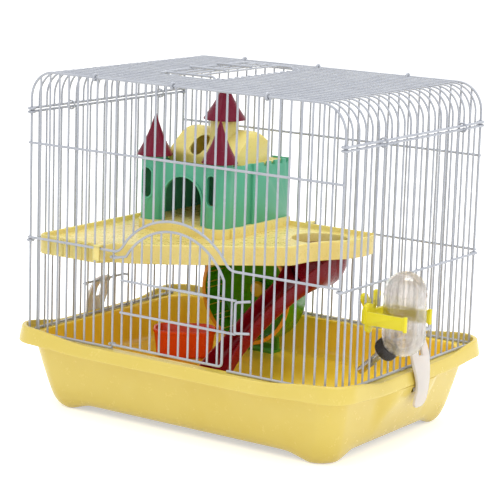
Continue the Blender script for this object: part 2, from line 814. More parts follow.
@dataclass
class WireCage:
    """The welded panels, the door, the hatch and the small hooks."""

    hinge_k: int = 9
    past_k: int = 21
    arch_z: float = 120.0
    arch_x: float = -2.6
    panel_arch_r: float = 66.5
    door_arch_r: float = 58.0
    door_w: float = 117.0
    loop_z: float = 148.0
    hook_r: float = 2.5
    hatch_x: float = -9.0
    hatch_w: float = 57.0
    hatch_l: float = 12 * SIDE_PITCH
    hatch_bars: Point = (22.0, 33.5, 45.0)
    door_rods: Flat = (102.0, 130.0)
    door_pitch: float = 10.0
    latch_rod_x: float = 165.1
    latch_rod_z: float = 97.6
    rods_x: Flat = (-90.4, 85.2)
    bend_steps: int = 14

    def __post_init__(self) -> None:
        """Works out the places that follow from the sizes."""
        self.hinge_x = -HALF_W + self.hinge_k * FRONT_PITCH
        self.past_x = -HALF_W + self.past_k * FRONT_PITCH
        self.door_x = self.hinge_x + self.door_w
        self.door_y = -HALF_D - WIRE - ROD - 0.5
        self.door_low = TRAY_H + 2.9
        self.hatch_y = -HALF_D + 6.5 * SIDE_PITCH + self.hatch_l / 2
        self.stop_x = self.hatch_x - self.hatch_w
        self.under = TOP_Z - ROD_OFF

    def build(self) -> None:
        """Builds every wire piece."""
        hand_over(self.front(), "cage", "white_wire", "front_panel")
        hand_over(self.back(), "cage", "white_wire", "back_panel")
        for side, name in ((-1, "left"), (1, "right")):
            hand_over(self.side(side, name), "cage", "white_wire", f"{name}_panel")
        hand_over(self.top(), "cage", "white_wire", "top_panel")
        hand_over(self.hooks(), "cage", "white_wire", "corner_hooks")
        hand_over(self.door(), "door", "white_wire", "front_door")
        hand_over(self.clip(), "door", "white_wire", "door_latch")
        hand_over(self.hatch(), "hatch", "white_wire", "top_hatch")

    def outline_z(self, x: float) -> float:
        """Height of the outline wire at a place across the cage."""
        over = abs(x) - (HALF_W - SHOULDER)
        return TOP_Z if over <= 0 else TOP_Z - SHOULDER + math.sqrt(SHOULDER ** 2 - over ** 2)

    def outline(self, y: float) -> list[Point]:
        """The path of the front or back outline wire."""
        low, mid = TRAY_H - 0.6, HALF_W - SHOULDER
        bends = (arc((-mid, TOP_Z - SHOULDER), SHOULDER, 180, 90, self.bend_steps)
                 + arc((mid, TOP_Z - SHOULDER), SHOULDER, 90, 0, self.bend_steps))
        return [(-HALF_W, y, low), *((x, y, z) for x, z in bends), (HALF_W, y, low)]

    def front(self) -> bpy.types.Object:
        """The front panel with the wide arch over the door."""
        work = WireWork("front_wires")
        y, rod_y = -HALF_D, -HALF_D - ROD_OFF
        weld_y = -HALF_D - WIRE
        work.outline.append(self.outline(y))
        rise = MID_Z - self.arch_z
        reach = math.sqrt(self.panel_arch_r ** 2 - rise ** 2)
        turn = math.degrees(math.asin(rise / self.panel_arch_r))
        bow = arc((self.arch_x, self.arch_z), self.panel_arch_r, 180 - turn, turn, 40)
        left, right = self.arch_x - reach, self.arch_x + reach
        # The middle rod and the arch are one wire, with a bend at each foot of the arch
        foot_l = rounded([(left - 14, rod_y, MID_Z), (left, rod_y, MID_Z),
                          (bow[4][0], rod_y, bow[4][1])], 6)
        foot_r = rounded([(bow[-5][0], rod_y, bow[-5][1]), (right, rod_y, MID_Z),
                          (right + 14, rod_y, MID_Z)], 6)
        work.rods += [
            [(-HALF_W - END, rod_y, TRAY_H), (self.hinge_x + 0.6, rod_y, TRAY_H)],
            [(self.past_x - 2, rod_y, TRAY_H), (HALF_W + END, rod_y, TRAY_H)],
            [(-HALF_W - END, rod_y, UPPER_Z), (HALF_W + END, rod_y, UPPER_Z)],
            [(-HALF_W - END, rod_y, MID_Z), *foot_l, *((x, rod_y, z) for x, z in bow[5:-5]),
             *foot_r, (HALF_W + END, rod_y, MID_Z)]]
        for k in range(FRONT_GAPS + 1):
            x = -HALF_W + k * FRONT_PITCH
            over_door = self.hinge_k < k < self.past_k
            heights = [UPPER_Z]
            if over_door:
                low = self.arch_z + math.sqrt(self.panel_arch_r ** 2 - (x - self.arch_x) ** 2)
                heights.append(low)
            else:
                low = TRAY_H - END
                heights += [TRAY_H, MID_Z]
            if 0 < k < FRONT_GAPS:
                work.thin.append([(x, y, low), (x, y, self.outline_z(x))])
                work.welds.append((x, y, self.outline_z(x) - 0.6))
            work.welds += [(x, weld_y, z) for z in heights]
        return work.build()

    def back(self) -> bpy.types.Object:
        """The back panel."""
        work = WireWork("back_wires")
        rod_y = HALF_D + ROD_OFF
        work.outline.append(self.outline(HALF_D))
        heights = (TRAY_H, MID_Z, UPPER_Z)
        work.rods += [[(-HALF_W - END, rod_y, z), (HALF_W + END, rod_y, z)] for z in heights]
        for k in range(FRONT_GAPS + 1):
            x = -HALF_W + k * FRONT_PITCH
            if 0 < k < FRONT_GAPS:
                work.thin.append([(x, HALF_D, TRAY_H - END), (x, HALF_D, self.outline_z(x))])
                work.welds.append((x, HALF_D, self.outline_z(x) - 0.6))
            work.welds += [(x, HALF_D + WIRE, z) for z in heights]
        return work.build()

    def closed_rod(self, spot: Callable[[float, float], Point]) -> list[Point]:
        """A rod from front to back whose two ends close round the wires there.

        Args:
            spot: Gives the point at a distance from the panel's plane and a place along Y.

        Returns:
            The rod's points.
        """
        path: list[Point] = []
        for t in (-1, 1):
            # The ring starts at the rod and closes at its own start
            end = [*(spot(self.hook_r * math.cos(a), t * (HALF_D + self.hook_r * math.sin(a)))
                     for a in angles(330, 0, 22)),
                   spot(self.hook_r - PLAY, t * (HALF_D - 3.5)), spot(ROD_OFF, t * (HALF_D - 8))]
            path = end if t < 0 else path + list(reversed(end))
        return path

    def hooked_rod(self, side: int, z: float) -> list[Point]:
        """A side rod whose two ends close round the corner wires."""
        return self.closed_rod(lambda off, y: (side * (HALF_W + off), y, z))

    def side(self, side: int, name: str) -> bpy.types.Object:
        """One side panel, with the rod that its latch turns on."""
        work = WireWork(f"{name}_wires")
        x, rod_x = side * HALF_W, side * (HALF_W + ROD_OFF)
        edge = HALF_D - SIDE_PITCH
        work.rods.append([(rod_x, -edge - END, TRAY_H), (rod_x, edge + END, TRAY_H)])
        work.rods += [self.hooked_rod(side, z) for z in (SIDE_MID_Z, SIDE_TOP_Z)]
        for k in range(1, SIDE_GAPS):
            y = -HALF_D + k * SIDE_PITCH
            work.thin.append([(x, y, TRAY_H - END), (x, y, SIDE_TOP_Z + END)])
            work.welds += [(x + side * WIRE, y, z) for z in (TRAY_H, SIDE_MID_Z, SIDE_TOP_Z)]
        z, out, half = self.latch_rod_z, side * self.latch_rod_x, 3 * SIDE_PITCH
        work.rods.append(rounded([(x, -half, z), (out, -half, z), (out, half, z), (x, half, z)],
                                 1.6))
        return work.build()

    def top(self) -> bpy.types.Object:
        """The top panel, bent down at both shoulders."""
        work = WireWork("top_wires")
        rods = (self.rods_x[0], self.hatch_x, self.rods_x[1])
        mid = HALF_W - SHOULDER
        for k in range(1, SIDE_GAPS):
            y = -HALF_D + k * SIDE_PITCH
            right = [(x, y, z) for x, z in
                     arc((mid, TOP_Z - SHOULDER), SHOULDER, 90, 0, self.bend_steps)]
            right.append((HALF_W, y, END_ROD_Z - END))
            left = [(-x, yy, z) for x, yy, z in reversed(right)]
            crossed = [*rods]
            if abs(y - self.hatch_y) < self.hatch_l / 2 - 2:
                work.thin += [[*left, (self.stop_x + END, y, TOP_Z)],
                              [(self.hatch_x - END, y, TOP_Z), *right]]
                crossed.append(self.stop_x)
            else:
                work.thin.append([*left, *right])
            work.welds += [(x, y, TOP_Z - WIRE) for x in crossed]
            work.welds += [(s * (HALF_W + WIRE), y, END_ROD_Z) for s in (-1, 1)]
        work.rods += [self.closed_rod(lambda off, y: (x, y, TOP_Z - off)) for x in rods]
        half = self.hatch_l / 2 + 4
        work.rods.append([(self.stop_x, self.hatch_y - half, self.under),
                          (self.stop_x, self.hatch_y + half, self.under)])
        work.rods += [self.hooked_rod(side, END_ROD_Z) for side in (-1, 1)]
        return work.build()

    def hooks(self) -> bpy.types.Object:
        """Four closed hooks that hold the top's end rods to the sides' top rods."""
        work = WireWork("corner_hook_rings")
        z, r = (END_ROD_Z + SIDE_TOP_Z) / 2, (END_ROD_Z - SIDE_TOP_Z) / 2 + ROD + 1.1
        for side in (-1, 1):
            for k in (5, 18):
                y = -HALF_D + (k + 0.5) * SIDE_PITCH
                work.fine.append([(side * (HALF_W + ROD_OFF) + r * math.cos(a),
                                   y + 0.5 * (i / 26 - 0.5), z + r * math.sin(a))
                                  for i, a in enumerate(angles(100, 452, 26))])
        return work.build()

    def door(self) -> bpy.types.Object:
        """The arched door, its frame one wire that ends in the two eyes of its hinge."""
        work = WireWork("door_wires")
        y, loop = self.door_y, WIRE + FRAME + PLAY
        corner_z = self.arch_z + math.sqrt(self.door_arch_r ** 2
                                           - (self.door_x - self.arch_x) ** 2)
        start = math.degrees(math.atan2(corner_z - self.arch_z, self.door_x - self.arch_x))
        bow = arc((self.arch_x, self.arch_z), self.door_arch_r, start, 148, 34)

        def eye(z: float) -> list[Point]:
            """The hinge eye at one height, from its end round to the frame."""
            turn = [(self.hinge_x + loop * math.cos(a), -HALF_D + loop * math.sin(a), z)
                    for a in angles(235, 0, 18)]
            return [*turn, (self.hinge_x + loop, -HALF_D - 1.2, z)]

        work.outline.append([
            *eye(self.door_low),
            *rounded([(self.hinge_x + loop, -HALF_D - 1.2, self.door_low),
                      (self.hinge_x + loop, y, self.door_low), (self.door_x, y, self.door_low),
                      (self.door_x, y, corner_z)], 4, 7)[1:],
            *((x, y, z) for x, z in bow),
            *rounded([(bow[-1][0], y, bow[-1][1]), (self.hinge_x + loop, y, self.loop_z),
                      (self.hinge_x + loop, -HALF_D - 1.2, self.loop_z)], 1.4)[1:],
            *reversed(eye(self.loop_z)[:-1])])
        rod_y = y - ROD_OFF
        foot_x, foot_z = bow[-1]
        end_x = self.past_x + 16 - 9
        x = self.hinge_x + 12
        while x <= self.door_x - 4:
            if x > foot_x:
                top = self.arch_z + math.sqrt(self.door_arch_r ** 2 - (x - self.arch_x) ** 2)
            else:
                share = (x - self.hinge_x - loop) / (foot_x - self.hinge_x - loop)
                top = self.loop_z + (foot_z - self.loop_z) * share
            work.thin.append([(x, y, self.door_low), (x, y, top)])
            work.welds += [(x, y - WIRE, z) for z in self.door_rods]
            work.welds += [(x, y, self.door_low), (x, y, top)]
            x += self.door_pitch
        work.rods += [[(self.hinge_x + 11.4, rod_y, z), (end_x, rod_y, z)]
                      for z in self.door_rods]
        return work.build()

    def clip(self) -> bpy.types.Object:
        """The bent wire at the door's free edge that snaps over a wire of the panel."""
        work = WireWork("door_clip_wire")
        x, y = self.past_x + 6 + ROD, self.door_y - ROD_OFF - ROD
        tip = (self.past_x + 2 * FRONT_PITCH - 1, -HALF_D - WIRE - PLAY - ROD)
        work.rods.append(rounded([(*tip, 104.0), (x, y, 103.0), (x, y, 129.0), (*tip, 131.0)],
                                 2.4, 6))
        return work.build()

    def hatch(self) -> bpy.types.Object:
        """The top hatch: a frame that ends in two eyes round a long rod, and its pull ring."""
        work = WireWork("hatch_wires")
        z, eye_r = TOP_Z + WIRE + ROD + 0.2, 2 * ROD + PLAY
        x0, x1 = self.hatch_x, self.hatch_x - self.hatch_w - 2
        low, high = self.hatch_y - self.hatch_l / 2, self.hatch_y + self.hatch_l / 2
        ends = []
        for y in (low, high):
            ring = [(x0 - eye_r * math.cos(a), y, self.under + eye_r * math.sin(a))
                    for a in angles(-320, 0, 22)]
            ends.append([*ring, *rounded([(x0 - eye_r, y, self.under), (x0 - eye_r - 3, y, z),
                                          (x0 - eye_r - 12, y, z)], 1.5)[1:]])
        corner = rounded([ends[0][-1], (x1, low, z), (x1, high, z), ends[1][-1]], 4, 6)
        work.rods.append([*ends[0], *corner[1:-1], *reversed(ends[1])])
        for d in self.hatch_bars:
            work.thin.append([(x0 - d, low, z), (x0 - d, high, z)])
            work.welds += [(x0 - d, y, z) for y in (low, high)]
        for y in (self.hatch_y - self.hatch_l / 6, self.hatch_y + self.hatch_l / 6):
            work.rods.append([(x1 - 0.8, y, z + ROD_OFF), (x0 - 21.4, y, z + ROD_OFF)])
            work.welds += [(x0 - d, y, z + WIRE) for d in self.hatch_bars]
        work.fine.append([(x1 + 2.2 + 2.2 * math.cos(a), low - 2.2 + 2.2 * math.sin(a), z)
                          for a in angles(0, 360, 20)])
        return work.build()


# ---------------------------------------------------------------- the tray and its latches


@dataclass
class Tray:
    """The deep tray with its wavy rim, its skirt, its four feet and the latches' pads."""

    half_a: float = 174.0
    half_b: float = 125.0
    corner: float = 25.0
    skirt_z: float = 57.0
    rim_z: float = 68.4
    rise: float = 6.5
    ledge_z: float = 67.6
    corner_points: int = 9
    side_points: int = 26

    def build(self) -> None:
        """Builds the tray."""
        hand_over(self.body(), "cage", "tray_plastic", "tray")

    def ring(self, inset_mm: float, height: Callable[[Flat], float],
             pad: float = 0.0) -> list[Point]:
        """One level of the tray.

        Args:
            inset_mm: Distance inwards from the skirt.
            height: Gives the height at a point.
            pad: Extra depth behind the latches.

        Returns:
            The ring's points.
        """
        out = []
        for x, y in round_rect(self.half_a - inset_mm, self.half_b - inset_mm,
                               self.corner - inset_mm / 4, self.corner_points,
                               self.side_points):
            push = ease((46 - abs(y)) / 14) if abs(x) > HALF_W - 32 else 0.0
            out.append((x + math.copysign(pad * push, x), y, height((x, y))))
        return out

    def wall(self, inset_mm: float, mid: float, corner: float, pad: float = 0.0) -> list[Point]:
        """A ring whose height rises towards the corners."""
        def height(p: Flat) -> float:
            """Height at a point: low along the middle of each side."""
            w = (ease((abs(p[0]) / self.half_a - 0.5) / 0.38)
                 * ease((abs(p[1]) / self.half_b - 0.42) / 0.42))
            return mid + (corner - mid) * w
        return self.ring(inset_mm, height, pad)

    def foot(self, inset_mm: float, z: float, drop: float) -> list[Point]:
        """A ring of the bottom that drops down at the four feet."""
        def height(p: Flat) -> float:
            """Height at a point: lower at the feet."""
            return z - drop * (ease((abs(p[0]) / self.half_a - 0.6) / 0.13)
                               * ease((abs(p[1]) / self.half_b - 0.46) / 0.17))
        return self.ring(inset_mm, height)

    def body(self) -> bpy.types.Object:
        """The tray's closed skin, rounded by a subdivision surface."""
        rim, skirt, top = self.rim_z, self.skirt_z, self.rise
        under = FLOOR_Z - 2.4
        outside = [
            self.foot(60, under, 0), self.foot(24, under, 0), self.foot(22.3, under - 0.6, 0),
            self.foot(26, 16, 0), self.foot(32.4, 10, 4), self.foot(33.4, 6.4, 6.2),
            self.foot(34.2, 6, 6), self.foot(35.4, 6, 6),
            self.foot(32, 6, 6), self.foot(30.6, 6.3, 5.6),
            self.foot(27, 8.2, 5), self.foot(22.5, 15, 2),
            self.wall(18.5, 30, 30, 3), self.wall(15, 44, 44, 10),
            self.wall(12, skirt - 0.6, skirt + 2.2, 11.5),
            self.wall(11.2, skirt + 0.2, skirt + 3.2, 11.2),
            self.wall(1.4, skirt + 0.1, skirt + 3.1), self.wall(0.2, skirt + 0.4, skirt + 3.4),
            self.wall(0.1, skirt + 1.6, skirt + 4.6),
            self.wall(1.3, rim - 4.6, rim + top - 5.0), self.wall(1.9, rim - 1.6, rim + top - 1.6),
            self.wall(2.3, rim - 0.3, rim + top - 0.3), self.wall(3.2, rim, rim + top)]
        inside = [
            self.wall(4.7, rim, rim + top), self.wall(5.3, rim - 0.5, rim + top - 0.5),
            self.wall(5.4, self.ledge_z + 0.4, self.ledge_z + 0.8),
            self.wall(5.8, self.ledge_z, self.ledge_z),
            self.wall(16.4, self.ledge_z, self.ledge_z),
            self.wall(17.4, self.ledge_z - 0.5, self.ledge_z - 0.5),
            self.wall(18, self.ledge_z - 2.5, self.ledge_z - 2.5),
            self.wall(18.6, FLOOR_Z + 12, FLOOR_Z + 12), self.wall(20, FLOOR_Z + 4, FLOOR_Z + 4),
            self.wall(22.4, FLOOR_Z + 1, FLOOR_Z + 1), self.wall(26.4, FLOOR_Z, FLOOR_Z),
            self.wall(29, FLOOR_Z, FLOOR_Z), self.wall(60, FLOOR_Z, FLOOR_Z),
            self.wall(90, FLOOR_Z, FLOOR_Z)]
        shape = Shape().loft(outside + inside,
                             slots=lambda i: 1 if i >= len(outside) + 4 else 0)
        tray = subdivide(shape.piece("tray_body", Finish.TRAY, Finish.TRAY_INSIDE), 2)
        for side in (-1, 1):
            low, high = sorted((side * 167.0, side * 181.0))
            groove = Shape().block((low, -9.4, 50.2), (high, 9.4, 54.8))
            carve(tray, groove.piece("groove", Finish.TRAY), Cut.TAKE)
        return smooth(tray, 50)


@dataclass
class Latches:
    """The two milky levers that hold the cage down on the tray."""

    edge: float = 0.7

    def build(self) -> None:
        """Builds both levers."""
        for side in ("left", "right"):
            lever = from_solid(f"{side}_latch", f"{side}_latch_lever", Finish.LATCH, self.edge)
            hand_over(lever, f"{side}_catch", "latch_plastic", f"{side}_latch")


# ---------------------------------------------------------------- the platform


@dataclass
class Platform:
    """The raised platform with its rim, the castle's base, the round hole and the clips."""

    low: float = 139.0
    top: float = 156.0
    floor: float = 151.0
    wall: float = 2.4
    left: float = -156.5
    front: float = -107.0
    back: float = 107.0
    hole: Flat = (24.0, 73.0)
    hole_r: float = 25.5
    base_top: float = 160.0
    clip_x: float = -67.1 - 1.5 * FRONT_PITCH

    def outline(self, n: int = 14) -> list[Flat]:
        """The platform's edge seen from above, anticlockwise."""
        rib = self.clip_x - 4.5
        out: list[Flat] = [(self.left, self.back)]
        out += [(self.left, self.back + (self.front + 9 - self.back) * i / 12)
                for i in range(1, 12)]
        out += arc((self.left + 9, self.front + 9), 9, 180, 270, 8)
        out += [(self.left + 9 + (rib - self.left - 9) * i / 5, self.front) for i in range(1, 6)]
        out += [(rib + 1, self.front + 4)]
        legs = [((rib + 8, -94), (-62, -91), (-22, -57), (15, -25)),
                ((15, -25), (31, -11), (43, -4), (43, 6)),
                ((43, 6), (43, 32), (52, 42), (61, 56)),
                ((61, 56), (68, 68), (71, 94), (62, self.back))]
        for i, leg in enumerate(legs):
            out += [bezier(*leg, k / n) for k in range(0 if i == 0 else 1, n + 1)]
        out += [(62 + (self.left - 62) * i / 16, self.back) for i in range(1, 16)]
        return out

    def base_outline(self, grow_by: float) -> list[Flat]:
        """The raised base under the castle: a box with two round towers in front."""
        left, right, r = -130 - grow_by, -32 + grow_by, 12 + grow_by
        far = 104.5 + grow_by
        return [(left, far), *arc((TOWERS_X[0], TOWER_Y), r, 180, 270, 12),
                *arc((TOWERS_X[1], TOWER_Y), r, 270, 360, 12), (right, TOWER_Y), (right, far)]

    def build(self) -> None:
        """Builds the platform."""
        hand_over(self.body(), "cage", "platform_plastic", "platform")

    def strips(self, bm: bmesh.types.BMesh, pairs: Iterable[tuple[Row, Row]]) -> None:
        """Joins the lower and the upper closed row of each pair by a strip of faces."""
        for low, high in pairs:
            for j in range(len(low)):
                k = (j + 1) % len(low)
                bm.faces.new((low[j], low[k], high[k], high[j]))

    def sheet(self, bm: bmesh.types.BMesh, outer: Row, inner: Row) -> None:
        """Fills the flat area between two closed rows of vertices."""
        edges = []
        for row in (outer, inner):
            for a, b in zip(row, [*row[1:], row[0]]):
                edges.append(bm.edges.get((a, b)) or bm.edges.new((a, b)))
        bmesh.ops.triangle_fill(bm, edges=edges, use_beauty=True)

    def body(self) -> bpy.types.Object:
        """The moulded deck: rim, floor, underside and hole in one closed skin."""
        line = self.outline()
        w = self.wall
        levels = [(w + 0.6, self.floor - w), (w, self.floor - w - 0.6), (w, self.low + 0.5),
                  (w - 0.5, self.low), (0.5, self.low), (0, self.low + 0.5),
                  (0, self.top - 1.4), (0.25, self.top - 0.5), (0.8, self.top),
                  (w - 0.6, self.top), (w, self.top - 0.6), (w + 0.1, self.floor + 1.6),
                  (w + 0.6, self.floor + 0.5), (w + 1.8, self.floor)]
        shape = Shape()
        bm = shape.bm
        rings = [[bm.verts.new((*p, z)) for p in (inset(line, d) if d else line)]
                 for d, z in levels]
        self.strips(bm, zip(rings, rings[1:]))
        low, floor = self.low, self.floor
        # The hole's softened edge, its bore, and the collar under the deck
        hole = [[bm.verts.new((x, y, z)) for x, y in
                 arc(self.hole, self.hole_r + d, 0, 360, 64)[:-1]]
                for d, z in ((0.7, floor), (0.2, floor - 0.2), (0.0, floor - 0.7),
                             (0.0, low + 0.3), (0.3, low), (1.3, low), (1.6, low + 0.3),
                             (1.6, floor - w - 0.6), (2.2, floor - w))]
        self.strips(bm, zip(hole[1:], hole))
        self.sheet(bm, rings[-1], hole[0])
        self.sheet(bm, rings[0], hole[-1])
        deck = smooth(shape.piece("deck", Finish.DECK), 40)

        top = self.base_top
        for name, way, levels in (
                ("base", Cut.JOIN, ((1.6, floor - 0.3), (1.6, top - 0.7), (1.4, top - 0.2),
                                    (0.9, top))),
                ("under_base", Cut.TAKE, ((-0.8, low - 1), (-0.8, top - 3.0),
                                          (-1.2, top - 2.4)))):
            body = Shape().loft([[(x, y, z) for x, y in self.base_outline(g)] for g, z in levels])
            carve(deck, body.piece(name, Finish.DECK), way)
        parts = [smooth(deck, 40), self.ribs(), *self.clips()]
        return join("platform_deck", parts)

    def ribs(self) -> bpy.types.Object:
        """The row of upright ribs on the front edge."""
        rib = Shape().block((-142.5, self.front - 1.1, self.low + 1),
                            (-140.1, self.front + 0.5, self.top - 1))
        source = bevel(rib.piece("rib", Finish.DECK), 0.5)
        mesh = source.data.copy()
        bpy.data.objects.remove(source)
        return smooth(grow("ribs", row_tree, mesh,
                           {"Count": 8, "Step": (0.007, 0.0, 0.0), "Finish": dress(Finish.DECK)}))

    def clips(self) -> list[bpy.types.Object]:
        """The hooks that hang the platform on the middle rods."""
        out = []

        def hook(spot: Matrix, reach: float, rod: float, drop: float) -> None:
            """One clip, drawn over a rod along X in front of the rim at Y 0."""
            far = reach + ROD + PLAY + 2
            for low, high in (((-2.8, -far, rod + ROD + PLAY), (2.8, 1, rod + ROD + 2.3)),
                              ((-2.8, -far, rod - drop), (2.8, 2 - far, rod + ROD + 1.3))):
                part = Shape().block(low, high, spot).piece("clip", Finish.DECK)
                out.append(smooth(bevel(part, 0.45)))

        front_x = self.clip_x
        hook(Matrix.Translation((front_x, self.front, 0)), ROD_OFF + 4, MID_Z, 10)
        block = Shape().block((front_x - 2.8, self.front, self.low + 2),
                              (front_x + 2.8, self.front + 16, self.top))
        out.append(smooth(bevel(block.piece("clip_root", Finish.DECK), 0.6)))
        half_turn = Matrix.Rotation(math.pi, 4, "Z")
        for k in (4, 14):
            hook(Matrix.Translation((-HALF_W + (k + 0.5) * FRONT_PITCH, self.back, 0))
                 @ half_turn, ROD_OFF + 4, MID_Z, 4)
        for k in (5, 16):
            hook(Matrix.Translation((self.left, -HALF_D + (k + 0.5) * SIDE_PITCH, 0))
                 @ Matrix.Rotation(-math.pi / 2, 4, "Z"), ROD_OFF + 3.5, SIDE_MID_Z, 4)
        return out


# ---------------------------------------------------------------- the castle


@dataclass
class Castle:
    """Walls, two small cones, the roof and the large cone on its neck."""

    tower_top: float = 218.0
    neck: Point = (-72.0, 55.0, 251.0)
    # Radius and height of each kind of cone, and the radius of its spigot
    small_cone: Point = (16.4, 38.0, 9.5)
    large_cone: Point = (19.6, 36.0, 10.7)

    def build(self) -> None:
        """Builds the castle's pieces."""
        hand_over(from_solid("castle_walls", "castle_wall_shell", Finish.CASTLE, 0.35),
                  "cage", "castle_plastic", "castle_walls")
        for name, x in zip(("left", "right"), TOWERS_X):
            cone = self.cone(f"{name}_tower_cone", (x, TOWER_Y, self.tower_top), *self.small_cone)
            hand_over(cone, "cage", "cone_plastic", f"{name}_cone")
        hand_over(self.cone("large_roof_cone", self.neck, *self.large_cone), "cage",
                  "cone_plastic", "top_cone")
        hand_over(from_solid("castle_roof", "gable_roof_shell", Finish.ROOF, 0.6),
                  "cage", "roof_plastic", "castle_roof")

    def cone(self, name: str, foot: Point, radius: float, height: float,
             spigot: float) -> bpy.types.Object:
        """One thin cone with a rounded tip, a rolled edge and the spigot inside it.

        Args:
            name: The piece's name.
            foot: The middle of the cone's base.
            radius: Radius of the base.
            height: Height of the tip.
            spigot: Radius of the part that drops into the tower.

        Returns:
            The piece.
        """
        profile: list[Flat] = [(0, -6), (spigot - 0.5, -6), (spigot, -5.5), (spigot, 0.0),
                               (radius - 0.5, 0.0), (radius, 0.35), (radius - 0.1, 0.9)]
        for i in range(1, 15):
            t = i / 15
            # The sides are drawn in a little, so that the cone flares at its foot
            r = (radius - 0.9) * (1 - t) + 0.9 - 0.09 * radius * math.sin(math.pi * t)
            profile.append((r, 0.9 + (height - 1.5) * t))
        profile += [(0.75, height - 0.45), (0.45, height - 0.12), (0, height)]
        piece = Shape().turn(profile, Matrix.Translation(foot), 72).piece(name, Finish.CONE)
        return smooth(piece, 40)


# ---------------------------------------------------------------- the slide


@dataclass
class Slide:
    """The trough that leaves a round cup under the platform and bends to the front."""

    cup: Flat = (24.0, 73.0)
    cup_r: float = 25.2
    cup_z: float = 131.0
    width: float = 27.0
    height: float = 19.0
    wall: float = 2.0
    sections: int = 96

    def build(self) -> None:
        """Builds the slide."""
        hand_over(self.body(), "cage", "slide_plastic", "slide")

    def middle(self, t: float) -> Vector:
        """The middle line seen from above."""
        return Vector(bezier(self.cup, (34, -2), (-22, -26), (2, -56), t))

    def low(self, t: float) -> float:
        """Height of the trough's underside."""
        high = self.cup_z - self.cup_r + 1
        return bezier((high,), (high + 11,), (FLOOR_Z - 4,), (FLOOR_Z + 0.3,), t)[0]

    def section(self, t: float) -> list[Point]:
        """One cross-section: round at the cup, then narrower with upright sides."""
        ahead = self.middle(min(1, t + 0.01)) - self.middle(max(0, t - 0.01))
        ahead.normalize()
        side, c = Vector((-ahead.y, ahead.x)), self.middle(t)
        near, s = 1 - ease(t / 0.3), self.wall
        w = self.width / 2 + (self.cup_r - 1.8 - self.width / 2) * near
        z0 = self.low(t)
        z1 = min(z0 + self.height + 14 * near, 138.6)
        k = 6 + 14 * (1 - ease(t / 0.35))
        v, j = w - s, k - s + 0.5
        outside = [(w - 0.15, z1 - 0.5), (w, z1 - 1.2), *arc((w - k, z0 + k), k, 0, -90, 7)]
        inside = [*arc((v - j, z0 + s + j), j, -90, 0, 7), (v, z1 - 1.2), (v + 0.3, z1 - 0.4),
                  (v + s / 2, z1)]
        profile = ([(-x, z) for x, z in outside] + [(x, z) for x, z in reversed(outside)]
                   + [(x, z) for x, z in reversed(inside)] + [(-x, z) for x, z in inside])
        return [(c.x + side.x * x, c.y + side.y * x, z) for x, z in profile]

    def body(self) -> bpy.types.Object:
        """Trough and cup, cut and joined as one moulding."""
        n, r, wall = self.sections, self.cup_r, self.wall
        trough = Shape().loft([self.section(i / n) for i in range(n + 1)]).piece(
            "trough", Finish.SLIDE)
        spot = Matrix.Translation((*self.cup, self.cup_z))
        cup = Shape().turn([(0, -r), *arc((0, 0), r, -90, 0, 24)[1:], (r, 11.5), (r - 0.4, 12),
                            (0, 12)], spot, 96)
        carve(trough, cup.piece("cup", Finish.SLIDE), Cut.JOIN)
        hollow = Shape().turn([(0, wall - r), *arc((0, 0), r - wall, -90, 0, 24)[1:],
                               (r - wall, 11.4), (r - wall + 0.5, 12.1), (r - wall + 0.5, 20),
                               (0, 20)], spot, 96)
        carve(trough, hollow.piece("hollow", Finish.SLIDE), Cut.TAKE)
        ahead = (self.middle(0.04) - self.middle(0.02)).normalized()
        turned = Matrix(((-ahead.y, 0, ahead.x, self.cup[0]), (ahead.x, 0, ahead.y, self.cup[1]),
                         (0, 1, 0, self.cup_z), (0, 0, 0, 1)))
        # The mouth, where the trough leaves the cup
        mouth = Shape().prism([*arc((0, -6), 15.4, 180, 360, 24), (15.4, 7), (-15.4, 7)], 3, 27,
                              turned)
        carve(trough, mouth.piece("mouth", Finish.SLIDE), Cut.TAKE)
        trough.name = "slide_trough"
        return smooth(trough, 40)


# ---------------------------------------------------------------- the running wheel


